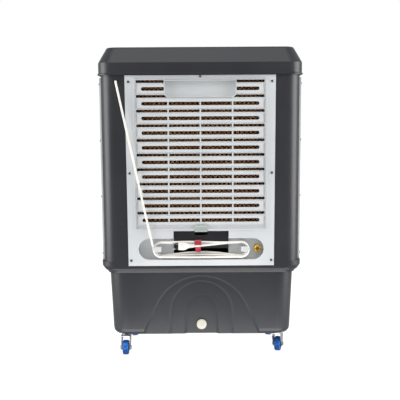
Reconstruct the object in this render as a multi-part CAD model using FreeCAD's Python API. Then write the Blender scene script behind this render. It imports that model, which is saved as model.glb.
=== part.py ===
import FreeCAD, Part
import math
import os

# Evaporative cooler, in millimetres. +Z is up, the rear faces +Y and the air outlet faces -Y.
# The origin is on the floor, midway between the sides and between the front and the rear.

os.makedirs("parts", exist_ok=True)
V = FreeCAD.Vector

# ---- driving dimensions -------------------------------------------------------------------
HALF_DEPTH = 206.0          # flat front and rear faces of the cabinet
CORNER = 46.0               # upright corner radius of the cabinet
WALL = 4.0                  # moulded wall of cabinet, lid and tank
SKIN = 3.0                  # white panels
TOP_Z = 1045.0              # flat top of the lid
LID_BAND_TOP = 993.0
LID_BOTTOM = 953.0
CABINET_TOP = 960.0
FLANGE_TOP = 328.0
TANK_TOP = 290.0
TANK_BOTTOM = 76.0
TANK_HALF_DEPTH = 196.0
PANEL_TOP = 951.0
PANEL_BOTTOM = 315.0
SIDE_PANEL = (331.0, 945.0, 150.0)     # bottom, top, half depth
FACE = HALF_DEPTH + SKIN               # outer face of the rear panel
GRILLE = (218.0, 440.0, 941.0)         # half width, bottom, top
SLOT_PITCH = 48.6
SLOT_ROWS = 10
FIRST_THIN_SLOT = 930.5
THIN_SLOT = (213.0, 9.0)               # half width, height
THICK_SLOT = (196.0, 12.0)
GRIP = (118.5, 880.0, 933.0)           # half width, bottom, top of the grip pocket
RECESS = (210.0, 371.0, 36.0)          # half width, centre height, end radius of the cord recess
RECESS_FLOOR = 180.0
WINDOW = (92.5, 353.0, 432.0)          # opening in the middle of the recess
PAD_Z = (444.0, 936.0)
FAN_Z = 660.0
DUCT_R = 208.0
OUTLET = (205.0, 470.0, 880.0)         # half width, bottom, top of the air outlet
BLADE_CHORD = 40.0
BLADE_T = 2.5
LOUVRE_Y = -184.0
VANE_Y = -135.0
LINK_ARM = 16.0                        # from a blade's axis to its link pin
CASTER_X, CASTER_Y = 260.0, 138.0
WHEEL_R = 25.0
TRAIL = 22.0
CORD_R = 3.5
HANK = (163.0, 369.5, 28.5)            # half width, centre height, outer end radius
HANK_Y = (188.7, 211.0)
STRANDS = 11.0                         # width of the folded strands, seen from the rear
ARCHES = ((172.0, 109.0, 24.0), (110.0, 152.0, 0.0), (58.5, 156.0, 0.0))
ARCH_STEP = 8.0                        # how far each arch steps back from the one around it
ARCH_SLOPE = 8.0
ARCH_FLOOR = TANK_HALF_DEPTH - len(ARCHES) * ARCH_STEP
DRAIN_Z = 107.6
FILL_DOOR = (80.0, 207.0, 275.0)       # half width, bottom, top of its opening
LEAD_X, LEAD_Z = 279.0, 931.0          # where the mains cord leaves the cabinet


# ---- shape helpers ------------------------------------------------------------------------
def box(x0, x1, y0, y1, z0, z1):
    return Part.makeBox(x1 - x0, y1 - y0, z1 - z0, V(x0, y0, z0))


def rod(radius, start, end):
    a, b = V(*start), V(*end)
    return Part.makeCylinder(radius, (b - a).Length, a, b - a)


def ring(outer, inner, start, end):
    return rod(outer, start, end).cut(rod(inner, start, end))


def rounded_wire(half_x, half_y, radius, z):
    """Rounded rectangle, level at height z."""
    edges = []
    corners = ((1, 1, 0), (-1, 1, 90), (-1, -1, 180), (1, -1, 270))
    arcs = []
    for sx, sy, turn in corners:
        centre = V(sx * (half_x - radius), sy * (half_y - radius), z)
        arcs.append(Part.makeCircle(radius, centre, V(0, 0, 1), turn, turn + 90))
    for i, arc in enumerate(arcs):
        after = arcs[(i + 1) % 4]
        edges.append(arc)
        edges.append(Part.makeLine(arc.lastVertex().Point, after.firstVertex().Point))
    return Part.Wire(edges)


def stack(levels, shrink=0.0):
    """Solid through rounded rectangles, given as (z, half_x, half_y, radius) from the bottom up."""
    wires = [rounded_wire(hx - shrink, hy - shrink, r - shrink, z) for z, hx, hy, r in levels]
    return Part.makeLoft(wires, True, True)


def slab_xz(points, y0, y1):
    """Flat outline of (x, z) points, given a thickness from y0 to y1."""
    wire = Part.makePolygon([V(x, y0, z) for x, z in points] + [V(points[0][0], y0, points[0][1])])
    return Part.Face(wire).extrude(V(0, y1 - y0, 0))


def slab_yz(points, x0, x1):
    wire = Part.makePolygon([V(x0, y, z) for y, z in points] + [V(x0, points[0][0], points[0][1])])
    return Part.Face(wire).extrude(V(x1 - x0, 0, 0))


def obround(half_x, z, radius, y0, y1):
    """Level slot shape with round ends, half_x to the tip of each end."""
    mid = half_x - radius
    body = box(-mid, mid, y0, y1, z - radius, z + radius)
    return body.fuse([rod(radius, (s * mid, y0, z), (s * mid, y1, z)) for s in (-1, 1)]).removeSplitter()


def fuse(shapes):
    return shapes[0].fuse(shapes[1:]).removeSplitter() if len(shapes) > 1 else shapes[0]


def both_sides(shape):
    return shape.mirror(V(0, 0, 0), V(1, 0, 0))


def save(name, *solids):
    shape = solids[0] if len(solids) == 1 else Part.makeCompound(list(solids))
    if not shape.isValid():
        raise ValueError(name + " is not a valid shape")
    shape.exportStep("parts/" + name + ".step")
    print(name, len(shape.Solids), "solid, volume", round(shape.Volume))


def cabinet_half(z):
    """Half width of the cabinet, which narrows towards the floor."""
    return 329.5 + (z - 327.0) * (334.0 - 329.5) / (943.0 - 327.0)


def panel_half(z):
    """Half width of the white front and rear panels."""
    return 244.0 + (z - PANEL_BOTTOM) * 6.5 / (PANEL_TOP - PANEL_BOTTOM)


# ---- housing ------------------------------------------------------------------------------
LID_LEVELS = ((LID_BOTTOM, 343.5, 215.0, 48.0), (LID_BOTTOM + 4, 343.5, 215.0, 48.0),
              (LID_BOTTOM + 6, 341.0, 212.5, 47.0), (LID_BAND_TOP, 341.0, 212.5, 47.0),
              (LID_BAND_TOP + 3, 339.6, 211.1, 46.0), (TOP_Z - 5, 315.6, 187.1, 35.0),
              (TOP_Z - 1.5, 313.0, 184.5, 33.0), (TOP_Z, 309.5, 181.0, 31.0))
CABINET_LEVELS = ((FLANGE_TOP, cabinet_half(FLANGE_TOP), HALF_DEPTH, CORNER),
                  (CABINET_TOP, cabinet_half(CABINET_TOP), HALF_DEPTH, CORNER))
FLANGE_LEVELS = ((TANK_TOP, 316.5, 199.0, 40.0), (295.0, 319.0, 201.0, 42.0),
                 (299.0, 326.0, 204.0, 46.0), (305.0, 331.0, HALF_DEPTH, 48.0),
                 (313.0, 336.5, HALF_DEPTH, 50.0), (FLANGE_TOP, 337.5, HALF_DEPTH, 51.0))
TANK_LEVELS = ((TANK_BOTTOM, 288.0, 181.5, 46.0), (79.0, 295.0, 188.5, 51.0),
               (86.0, 300.5, 194.0, 54.0), (96.0, 302.5, TANK_HALF_DEPTH, 56.0),
               (TANK_TOP, 312.0, TANK_HALF_DEPTH, 56.0))


def lid():
    outer = stack(LID_LEVELS)
    inner = [(z, hx, hy, r) for z, hx, hy, r in LID_LEVELS[:-1]]
    inner[0] = (LID_BOTTOM - 1,) + LID_LEVELS[2][1:]
    inner[1] = (LID_BOTTOM + 4,) + LID_LEVELS[2][1:]
    shell = outer.cut(stack(inner, WALL))
    seat = stack(((CABINET_TOP, 338.0, 209.5, 45.0), (CABINET_TOP + 4, 338.0, 209.5, 45.0)))
    seat = seat.cut(stack(((CABINET_TOP - 1, 322.0, 194.0, 30.0), (CABINET_TOP + 5, 322.0, 194.0, 30.0))))
    return fuse([shell, seat])


def cabinet_shell():
    skin = stack(CABINET_LEVELS).cut(stack(CABINET_LEVELS, WALL))
    flange = stack(FLANGE_LEVELS)
    top_half = cabinet_half(FLANGE_TOP) - WALL
    throat = stack(((TANK_TOP - 1, 306.0, 188.0, 40.0),
                    (FLANGE_TOP + 1, top_half, HALF_DEPTH - WALL, CORNER - WALL)))
    body = fuse([skin, flange.cut(throat)])
    side_window = box(300, 360, -88, 138, PAD_Z[0], 940)
    rear_window = box(-228, 228, 190, 220, 331, 942)
    front_window = box(-228, 228, -220, -190, 340, 949)
    body = body.cut([side_window, both_sides(side_window), rear_window, front_window])
    cavity = stack(((FLANGE_TOP, cabinet_half(FLANGE_TOP) - 1, HALF_DEPTH - 1, CORNER - 1),
                    (CABINET_TOP, cabinet_half(CABINET_TOP) - 1, HALF_DEPTH - 1, CORNER - 1)))
    shelf = box(-360, 360, 144, 188.5, PAD_Z[0] - 4, PAD_Z[0])
    side_shelf = box(280, 360, -92, 146, PAD_Z[0] - 4, PAD_Z[0])
    shelves = fuse([shelf, side_shelf, both_sides(side_shelf)]).common(cavity)
    backing = box(-92, 92, 183, 186, 371, PAD_Z[0] - 2)
    backing = fuse([backing, box(-92, 92, 178, 186, PAD_Z[0] - 6, PAD_Z[0] - 2)])
    body = fuse([body, shelves, backing])
    body = body.cut(box(-21.5, 21.5, 160, 200, 415, 432))
    x0, x1, z0, z1 = LEAD_X - 17, LEAD_X + 8.5, LEAD_Z - 17, LEAD_Z + 17
    body = body.cut(box(x0, x1, HALF_DEPTH - WALL - 1, HALF_DEPTH + 1, z0, z1))
    eyelet = box(x0, x1, HALF_DEPTH - WALL, HALF_DEPTH, z0, z1)
    return body.fuse(eyelet.cut(rod(8.05, (LEAD_X, 190, LEAD_Z), (LEAD_X, 220, LEAD_Z))))


def arch_wire(radius, centre_z, flare, y):
    """Arch outline: a round top on two legs that spread by flare degrees, open past the tank's foot."""
    f = math.radians(flare)
    foot = TANK_BOTTOM - 16
    tx, tz = radius * math.cos(f), centre_z + radius * math.sin(f)
    bx = tx + (tz - foot) * math.tan(f)
    top = Part.Arc(V(tx, y, tz), V(0, y, centre_z + radius), V(-tx, y, tz)).toShape()
    left = Part.makeLine(V(-tx, y, tz), V(-bx, y, foot))
    base = Part.makeLine(V(-bx, y, foot), V(bx, y, foot))
    right = Part.makeLine(V(bx, y, foot), V(tx, y, tz))
    return Part.Wire([top, left, base, right])


def water_tank():
    outer = stack(TANK_LEVELS)
    cavity = stack([(z + (WALL if z < 90 else 0), hx, hy, r) for z, hx, hy, r in TANK_LEVELS[:-1]]
                   + [(TANK_TOP + 1, 312.0, TANK_HALF_DEPTH, 56.0)], WALL)
    face = TANK_HALF_DEPTH
    for radius, centre, flare in ARCHES:
        cut = Part.makeLoft([arch_wire(radius, centre, flare, face),
                             arch_wire(radius - ARCH_SLOPE, centre, flare, face - ARCH_STEP)], True, True)
        outer = outer.cut(cut)
        face -= ARCH_STEP
        bulge = Part.Face(arch_wire(radius + 3, centre, flare, face - WALL)).extrude(V(0, 60, 0))
        cavity = cavity.cut(bulge)
    tank = outer.cut(cavity)
    door_half, door_low, door_high = FILL_DOOR
    doorway = box(-door_half, door_half, -210, -185, door_low, door_high)
    tank = tank.cut([doorway, box(190, 210, -200, -190, 110, 260)])
    pins = [rod(2.05, (s * 70, -194.5, 211), (s * 86, -194.5, 211)) for s in (-1, 1)]
    spout = rod(13.0, (0, ARCH_FLOOR - 12, DRAIN_Z), (0, ARCH_FLOOR + 0.5, DRAIN_Z))
    drain = rod(8.0, (0, ARCH_FLOOR - 20, DRAIN_Z), (0, ARCH_FLOOR + 5, DRAIN_Z))
    return tank.cut(pins).fuse(spout).cut(drain).removeSplitter()


def drain_cap():
    """Cap with a spigot that sits in the drain hole, and a raised grip bar on its face."""
    base = ARCH_FLOOR + 0.5
    disc = rod(17, (0, base, DRAIN_Z), (0, base + 8, DRAIN_Z))
    disc = disc.makeChamfer(1.2, [e for e in disc.Edges if abs(e.BoundBox.YMax - base - 8) < 0.01
                                  and abs(e.BoundBox.YMin - base - 8) < 0.01])
    spigot = rod(7.95, (0, base - 9, DRAIN_Z), (0, base, DRAIN_Z))
    grip = box(-9, 9, base + 7, base + 10, DRAIN_Z - 2, DRAIN_Z + 2)
    return fuse([disc, spigot, grip])


def fill_door():
    """Hinged door with a finger lip, a little smaller than its opening."""
    half, low, high = FILL_DOOR[0] - 1.5, FILL_DOOR[1] + 2, FILL_DOOR[2] - 2
    plate = box(-half, half, -196, -193, low, high)
    lip = box(-20, 20, -200, -195.5, high - 6, high)
    pins = [rod(2.0, (s * 76, -194.5, 211), (s * 84, -194.5, 211)) for s in (-1, 1)]
    return fuse([plate, lip] + pins)


def level_window():
    return box(190, 210, -196, -192, 110, 260)


# ---- panels, grille and pads ---------------------------------------------------------------
def panel_plate(y0, y1):
    low, high = panel_half(PANEL_BOTTOM), panel_half(PANEL_TOP)
    return slab_xz([(-low, PANEL_BOTTOM), (low, PANEL_BOTTOM), (high, PANEL_TOP), (-high, PANEL_TOP)], y0, y1)


def rear_panel():
    half, z, radius = RECESS
    plate = panel_plate(HALF_DEPTH, FACE)
    frame = box(-GRILLE[0] - 5, GRILLE[0] + 5, FACE, FACE + 2, GRILLE[1] - 5, GRILLE[2] + 1)
    tray = obround(half + 2.5, z, radius + 2.5, RECESS_FLOOR, HALF_DEPTH)
    body = fuse([plate, frame, tray])
    body = body.cut(obround(half, z, radius, RECESS_FLOOR + 2.5, FACE + 1))
    body = body.cut(box(-GRILLE[0] - 0.3, GRILLE[0] + 0.3, 150, 230, GRILLE[1] - 0.3, GRILLE[2] + 0.3))
    body = body.cut(box(-WINDOW[0], WINDOW[0], 150, 230, WINDOW[1], WINDOW[2]))
    body = body.cut(box(-21.5, 21.5, 150, 230, 428, 445))
    return body.cut(rod(SHANK_R + 0.05, (INLET_X, 170, z), (INLET_X, 190, z)))


def rear_grille():
    """Slatted cover: thin full-width gaps between raised slats that each have a round-ended slot."""
    half, bottom, top = GRILLE
    plate = box(-half, half, 204, 206.5, bottom, top)
    raised, gaps = [], []
    slat_half, slat_reach = THIN_SLOT[0] - 4, 15.0
    thin_half, thin_reach = THIN_SLOT[0], THIN_SLOT[1] / 2
    for row in range(SLOT_ROWS):
        thin_z = FIRST_THIN_SLOT - row * SLOT_PITCH
        mid_z = thin_z - SLOT_PITCH / 2
        raised.append(box(-slat_half, slat_half, 206.5, FACE + 0.5, mid_z - slat_reach, mid_z + slat_reach))
        gaps.append(box(-thin_half, thin_half, 195, 220, thin_z - thin_reach, thin_z + thin_reach))
        gaps.append(obround(THICK_SLOT[0], mid_z, THICK_SLOT[1] / 2, 195, 220))
    rim = box(-half, half, 206.5, FACE, bottom, top)
    rim = rim.cut(box(-half + 3, half - 3, 200, 215, bottom + 3, top - 3))
    body = plate.fuse(raised + [rim]).cut(gaps)
    bars = [box(x - 2.5, x + 2.5, 201.5, 208, 455, GRIP[1]) for x in (-107.0, 0.0, 107.0)]
    g_half, g_low, g_high = GRIP
    outline = [(-g_half, g_high), (g_half, g_high), (g_half, g_low + 10), (g_half - 10, g_low),
               (-g_half + 10, g_low), (-g_half, g_low + 10)]
    wall = 2.0
    outside = [(x + math.copysign(wall, x), z + (wall if z == g_high else -wall)) for x, z in outline]
    body = body.cut(slab_xz(outline, 190, 220)).fuse(bars + [slab_xz(outside, 190, FACE)])
    body = body.cut(slab_xz(outline, 192, 220))
    body = body.cut(box(-GUIDE[0] - 0.3, GUIDE[0] + 0.3, 203, 210, bottom - 1, bottom + 4.3))
    return body.removeSplitter()


GUIDE = (15.0, 21.0)        # latch: half width of the tongue, half width of the thumb piece


def grille_latch():
    """Sliding catch under the grille: a thumb piece in front of the panel and a tongue in the slot."""
    thumb = box(-GUIDE[1], GUIDE[1], FACE + 0.8, FACE + 4, 429.5, 452)
    ribs = [box(-GUIDE[1] + 3, GUIDE[1] - 3, FACE + 4, FACE + 5.2, z, z + 1.5) for z in (433, 437, 441)]
    tongue = box(-GUIDE[0], GUIDE[0], 204.3, FACE + 0.8, 429.5, 444)
    return fuse([thumb, tongue] + ribs)


def side_panel():
    """Side cover with air slots. Its back follows the leaning cabinet wall."""
    low, high, half = SIDE_PANEL
    outline = [(cabinet_half(low), low), (336.0, low), (340.5, high), (cabinet_half(high), high)]
    plate = slab_xz(outline, -half, half)
    slots = []
    for row in range(SLOT_ROWS):
        z = FIRST_THIN_SLOT - 12 - row * SLOT_PITCH
        slots.append(box(300, 360, -84, 134, z - 4.5, z + 4.5))
        mid = z - SLOT_PITCH / 2
        slots.append(box(300, 360, -72, 122, mid - 6, mid + 6))
    return plate.cut(slots)


def front_panel():
    half, low, high = OUTLET
    plate = panel_plate(-FACE, -HALF_DEPTH)
    duct = box(-half - 3, half + 3, -HALF_DEPTH, -108, low - 3, high + 3)
    pocket = box(-197, 197, -HALF_DEPTH, -187, 891, 947)
    body = fuse([plate, duct, pocket])
    body = body.cut(box(-half, half, -220, -100, low, high))
    body = body.cut(box(-195, 195, -220, -189, 893, 945))
    holes = []
    for z in LOUVRE_Z:
        for side in (-1, 1):
            holes.append(rod(LOUVRE_PIN + 0.05, (side * 200, LOUVRE_Y, z), (side * 210, LOUVRE_Y, z)))
    for x in VANE_X:
        holes.append(rod(LOUVRE_PIN + 0.05, (x, VANE_Y, low - 5), (x, VANE_Y, low + 5)))
        holes.append(rod(LOUVRE_PIN + 0.05, (x, VANE_Y, high - 5), (x, VANE_Y, high + 5)))
    holes += [rod(3.05, (x, -195, KNOB_Z), (x, -180, KNOB_Z)) for x in KNOB_X]
    return body.cut(holes)


def rear_pad():
    return box(-214, 214, 146, 188, PAD_Z[0], PAD_Z[1])


def side_pad():
    return box(286, 322, -86, 136, PAD_Z[0], PAD_Z[1])


# ---- air outlet ----------------------------------------------------------------------------
LOUVRE_PIN = 3.0
LOUVRE_Z = [OUTLET[1] + 41 + i * 82 for i in range(5)]
VANE_X = [-160 + i * 80 for i in range(5)]
LINK_X = -197.0
LINK_Z = 868.0


def louvre(z):
    """Level blade on two end pins, with a notch and a small pin at its back for the link."""
    half = OUTLET[0]
    front, back = LOUVRE_Y - BLADE_CHORD / 2, LOUVRE_Y + BLADE_CHORD / 2
    blade = box(-half + 1, half - 1, front, back, z - BLADE_T / 2, z + BLADE_T / 2)
    pin_y = LOUVRE_Y + LINK_ARM
    spine = rod(LOUVRE_PIN, (-half - 2.8, LOUVRE_Y, z), (half + 2.8, LOUVRE_Y, z))
    blade = blade.cut(box(-half, LINK_X + 7, pin_y - 8, pin_y + 8, z - 5, z + 5))
    link_pin = rod(2.0, (LINK_X - 4, pin_y, z), (LINK_X + 10, pin_y, z))
    return fuse([blade, spine, link_pin])


def louvre_link():
    pin_y = LOUVRE_Y + LINK_ARM
    bar = box(LINK_X - 1.5, LINK_X + 1.5, pin_y - 4, pin_y + 4, LOUVRE_Z[0] - 7, LOUVRE_Z[-1] + 7)
    return bar.cut([rod(2.1, (LINK_X - 3, pin_y, z), (LINK_X + 3, pin_y, z)) for z in LOUVRE_Z])


def vane(x):
    """Upright blade on a top and a bottom pin, with a notch and a small pin for the link."""
    low, high = OUTLET[1] + 1, OUTLET[2] - 1
    front, back = VANE_Y - BLADE_CHORD / 2, VANE_Y + BLADE_CHORD / 2
    blade = box(x - BLADE_T / 2, x + BLADE_T / 2, front, back, low, high)
    top = high + (9 if x == 0 else 3.8)
    spine = rod(LOUVRE_PIN, (x, VANE_Y, low - 3.8), (x, VANE_Y, top))
    pin_y = VANE_Y + LINK_ARM
    blade = blade.cut(box(x - 5, x + 5, pin_y - 8, pin_y + 8, LINK_Z - 7, high + 1))
    link_pin = rod(2.0, (x, pin_y, LINK_Z - 10), (x, pin_y, LINK_Z + 4))
    return fuse([blade, spine, link_pin])


def vane_link():
    pin_y = VANE_Y + LINK_ARM
    bar = box(VANE_X[0] - 7, VANE_X[-1] + 7, pin_y - 4, pin_y + 4, LINK_Z - 1.5, LINK_Z + 1.5)
    return bar.cut([rod(2.1, (x, pin_y, LINK_Z - 3), (x, pin_y, LINK_Z + 3)) for x in VANE_X])


def swing_motor():
    z = OUTLET[2] + 3
    can = rod(14, (0, VANE_Y, z + 1), (0, VANE_Y, z + 20))
    ears = box(-22, 22, VANE_Y - 4, VANE_Y + 4, z, z + 1)
    return fuse([can, ears]).cut(rod(LOUVRE_PIN + 0.05, (0, VANE_Y, z - 1), (0, VANE_Y, z + 8)))


# ---- controls ------------------------------------------------------------------------------
KNOB_Z = 919.0
KNOB_X = (-110.0, 110.0)


def control_box():
    body = box(-190, 190, -187, -152, 895, 943)
    body = body.cut(box(-187, 187, -184.5, -155, 898, 940))
    return body.cut([rod(3.05, (x, -190, KNOB_Z), (x, -170, KNOB_Z)) for x in KNOB_X])


def knob(x):
    """Round knob with a finger bar, a pointer groove and a spindle."""
    skirt = rod(19, (x, -196, KNOB_Z), (x, -190, KNOB_Z))
    grip = box(x - 5, x + 5, -209, -196, KNOB_Z - 18, KNOB_Z + 18)
    grip = grip.common(rod(18.5, (x, -209, KNOB_Z), (x, -196, KNOB_Z)))
    spindle = rod(3.0, (x, -191, KNOB_Z), (x, -172, KNOB_Z))
    return fuse([skirt, grip, spindle]).cut(box(x - 0.8, x + 0.8, -210, -208, KNOB_Z + 4, KNOB_Z + 20))


# ---- fan -----------------------------------------------------------------------------------
FAN_Y = -55.0


def fan_shroud():
    """Bulkhead across the cabinet, with the round duct that the fan turns in."""
    inside = stack(((FLANGE_TOP, cabinet_half(FLANGE_TOP) - WALL, HALF_DEPTH - WALL, CORNER - WALL),
                    (CABINET_TOP, cabinet_half(CABINET_TOP) - WALL, HALF_DEPTH - WALL, CORNER - WALL)))
    plate = box(-340, 340, -98, -94, 340, 948).common(inside)
    duct = rod(DUCT_R + 3, (0, -96, FAN_Z), (0, -14, FAN_Z))
    return fuse([plate, duct]).cut(rod(DUCT_R, (0, -110, FAN_Z), (0, 0, FAN_Z)))


def blade_wire(radius, chord, pitch, turn):
    """Slanted rectangle at one radius of a fan blade, turned about the fan's axis."""
    c, s = math.cos(math.radians(pitch)), math.sin(math.radians(pitch))
    points = []
    for along, through in ((-1, -1), (1, -1), (1, 1), (-1, 1)):
        u, w = along * chord / 2, through * 1.4
        points.append(V(u * c - w * s, FAN_Y + u * s + w * c, FAN_Z + radius))
    wire = Part.makePolygon(points + points[:1])
    wire.rotate(V(0, 0, FAN_Z), V(0, 1, 0), turn)
    return wire


def fan_rotor():
    hub = rod(46, (0, FAN_Y - 22, FAN_Z), (0, FAN_Y + 22, FAN_Z))
    hub = hub.makeFillet(6, [e for e in hub.Edges if abs(e.BoundBox.YMax - FAN_Y + 22) < 0.1])
    blades = []
    for i in range(5):
        wires = [blade_wire(r, chord, pitch, i * 72) for r, chord, pitch in
                 ((40.0, 62.0, 38.0), (110.0, 100.0, 29.0), (180.0, 140.0, 22.0))]
        blades.append(Part.makeLoft(wires, True, True))
    return fuse([hub] + blades).cut(rod(6, (0, FAN_Y - 30, FAN_Z), (0, FAN_Y + 30, FAN_Z)))


def motor_shaft():
    return rod(6, (0, FAN_Y - 22, FAN_Z), (0, 60, FAN_Z))


def fan_motor():
    can = rod(62, (0, -10, FAN_Z), (0, 84, FAN_Z))
    can = can.makeFillet(8, [e for e in can.Edges if abs(e.BoundBox.YMin - 84) < 0.1])
    fins = [box(-66, 66, y, y + 3, FAN_Z - 14, FAN_Z + 14) for y in (10, 24, 38, 52)]
    return fuse([can] + fins).cut(rod(6.05, (0, -20, FAN_Z), (0, 62, FAN_Z)))


def motor_bracket():
    arms = [box(-DUCT_R - 2, DUCT_R + 2, -14, -10, FAN_Z - 12, FAN_Z + 12),
            box(-12, 12, -14, -10, FAN_Z - DUCT_R - 2, FAN_Z + DUCT_R + 2),
            rod(70, (0, -14, FAN_Z), (0, -10, FAN_Z))]
    return fuse(arms).cut(rod(9, (0, -20, FAN_Z), (0, 0, FAN_Z)))


# ---- water ---------------------------------------------------------------------------------
INLET_X = -190.0
INLET_R = 10.48             # G 1/2 male thread, outside radius
SHANK_R = 9.6
PUMP_XY = (250.0, 60.0)


def water_distributor():
    """U-shaped drip trough that lies on the three pads."""
    low, high = PAD_Z[1], PAD_Z[1] + 13
    floor, over = low + 2.5, high + 1
    rear = box(-322, 322, 143, 183, low, high).cut(box(-319, 319, 146, 180, floor, over))
    side = box(286, 322, -86, 149, low, high).cut(box(289, 319, -83, 150, floor, over))
    elbow = box(289, 319, 140, 170, floor, over)
    inlet = box(243, 287, 52, 68, low + 2, high)
    body = fuse([rear.cut([elbow, both_sides(elbow)]), side, both_sides(side), inlet])
    drips = [rod(2.0, (x, 167, low - 1), (x, 167, low + 4)) for x in range(-200, 201, 50)]
    return body.cut(drips)


def water_hose():
    x, y = PUMP_XY
    return ring(7, 5, (x, y, 142), (x, y, PAD_Z[1] + 2))


def pump():
    x, y = PUMP_XY
    body = box(x - 27, x + 27, y - 27, y + 27, 80, 126)
    body = body.makeFillet(6, [e for e in body.Edges if abs(e.BoundBox.ZMax - e.BoundBox.ZMin) > 40])
    outlet = rod(7, (x, y, 126), (x, y, 142))
    return fuse([body, outlet])


def inlet_fitting():
    """Brass tail with a collar and a G 1/2 male thread, and the nut behind the recess floor."""
    z = RECESS[1]
    face = RECESS_FLOOR + 2.5
    tail = fuse([rod(SHANK_R, (INLET_X, 150, z), (INLET_X, face + 1, z)),
                 rod(13.5, (INLET_X, face, z), (INLET_X, face + 4, z)),
                 rod(INLET_R, (INLET_X, face + 4, z), (INLET_X, 204, z))])
    tail = tail.cut(rod(4.75, (INLET_X, 140, z), (INLET_X, 210, z)))
    hexagon = [(INLET_X + 14 * math.cos(math.radians(60 * i)), z + 14 * math.sin(math.radians(60 * i)))
               for i in range(6)]
    nut = slab_xz(hexagon, 172, RECESS_FLOOR).cut(rod(SHANK_R, (INLET_X, 160, z), (INLET_X, 190, z)))
    return tail, nut


def float_valve():
    z = RECESS[1]
    body = box(INLET_X - 13, INLET_X + 13, 112, 150, z - 14, z + 14)
    ears = box(INLET_X - 9, INLET_X + 9, 104, 113, z - 14, z - 2)
    body = fuse([body, ears]).cut(box(INLET_X - 5, INLET_X + 5, 100, 112, z - 20, z))
    return body.cut(rod(2.0, (INLET_X - 20, 108, z - 8), (INLET_X + 20, 108, z - 8)))


def float_arm():
    z = RECESS[1] - 8
    boss = rod(4, (INLET_X - 4.5, 108, z), (INLET_X + 4.5, 108, z))
    arm = rod(2.5, (INLET_X, 108, z), (INLET_X, 30, z - 86))
    pin = rod(1.95, (INLET_X - 8.8, 108, z), (INLET_X + 8.8, 108, z))
    ball = Part.makeSphere(27, V(INLET_X, 18, z - 100))
    return fuse([boss, arm, pin, ball])


# ---- casters -------------------------------------------------------------------------------
CASTERS = {"rear_left": (CASTER_X, CASTER_Y, 358.0), "rear_right": (-CASTER_X, CASTER_Y, 165.0),
           "front_left": (CASTER_X, -CASTER_Y, 25.0), "front_right": (-CASTER_X, -CASTER_Y, 335.0)}
AXLE_Z = WHEEL_R
PEDAL_PIVOT = (31.0, 58.5)      # distance behind the swivel, height


def place_caster(shape, corner):
    """A caster is drawn trailing towards +Y under the origin, then turned and moved to its corner."""
    x, y, turn = CASTERS[corner]
    shape.rotate(V(0, 0, 0), V(0, 0, 1), turn)
    shape.translate(V(x, y, 0))
    return shape


def caster_plate(corner):
    """Top plate, bearing race and kingpin; the plate stays square to the tank."""
    x, y = CASTERS[corner][:2]
    plate = box(-24, 24, -24, 24, 73.5, TANK_BOTTOM)
    race = rod(17, (0, 0, 70.3), (0, 0, 73.5))
    kingpin = fuse([rod(4, (0, 0, 61.5), (0, 0, 71)), rod(7, (0, 0, 60.5), (0, 0, 63))])
    holes = [rod(2.6, (sx * 19, sy * 19, 70), (sx * 19, sy * 19, 80)) for sx in (-1, 1) for sy in (-1, 1)]
    whole = fuse([plate, race, kingpin]).cut(holes)
    whole.translate(V(x, y, 0))
    return whole


def caster_fork(braked):
    top = box(-15.5, 15.5, -14, 37, 65, 67.5).fuse(rod(16, (0, 0, 65), (0, 0, 70)))
    side = [(-13, 66), (37, 66), (38, 53), (29, 17), (15, 17), (-2, 44), (-13, 58)]
    legs = [slab_yz(side, s * 14.25 - 1.25, s * 14.25 + 1.25) for s in (-1, 1)]
    body = fuse([top] + legs).cut(rod(4.05, (0, 0, 60), (0, 0, 72)))
    body = body.cut(rod(4, (-20, TRAIL, AXLE_Z), (20, TRAIL, AXLE_Z)))
    if braked:
        y, z = PEDAL_PIVOT
        body = body.cut(rod(2.05, (-20, y, z), (20, y, z)))
    bolt = fuse([rod(4, (-17.5, TRAIL, AXLE_Z), (17.5, TRAIL, AXLE_Z)),
                 rod(6.5, (15.5, TRAIL, AXLE_Z), (19, TRAIL, AXLE_Z)),
                 rod(6.5, (-19, TRAIL, AXLE_Z), (-15.5, TRAIL, AXLE_Z))])
    return body, bolt


def caster_wheel():
    tread = rod(WHEEL_R, (-10, TRAIL, AXLE_Z), (10, TRAIL, AXLE_Z))
    tread = tread.makeFillet(4, [e for e in tread.Edges if e.BoundBox.XLength < 0.01])
    dish = rod(17, (8, TRAIL, AXLE_Z), (11, TRAIL, AXLE_Z))
    body = tread.cut([dish, both_sides(dish)])
    hub = rod(8, (-12, TRAIL, AXLE_Z), (12, TRAIL, AXLE_Z))
    return fuse([body, hub]).cut(rod(4.05, (-20, TRAIL, AXLE_Z), (20, TRAIL, AXLE_Z)))


def brake_pedal():
    y, z = PEDAL_PIVOT
    tread = box(-11, 11, y + 4, 64, z - 1.5, z + 1.5)
    lip = box(-11, 11, 61, 64, z - 1.5, z + 5)
    boss = rod(4, (-12, y, z), (12, y, z))
    web = box(-11, 11, y, y + 6, z - 1.5, z + 1.5)
    pin = rod(2.0, (-15, y, z), (15, y, z))
    return fuse([tread, lip, boss, web, pin])


# ---- mains cord ----------------------------------------------------------------------------
HOOK_X = 140.0
CORD_ROUTE = ((LEAD_X, 208.6, LEAD_Z), (LEAD_X, 222.0, LEAD_Z), (LEAD_X - 1.5, 224.5, LEAD_Z - 14),
              (168.0, 217.5, 408.0), (163.6, 214.7, 389.0))


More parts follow.
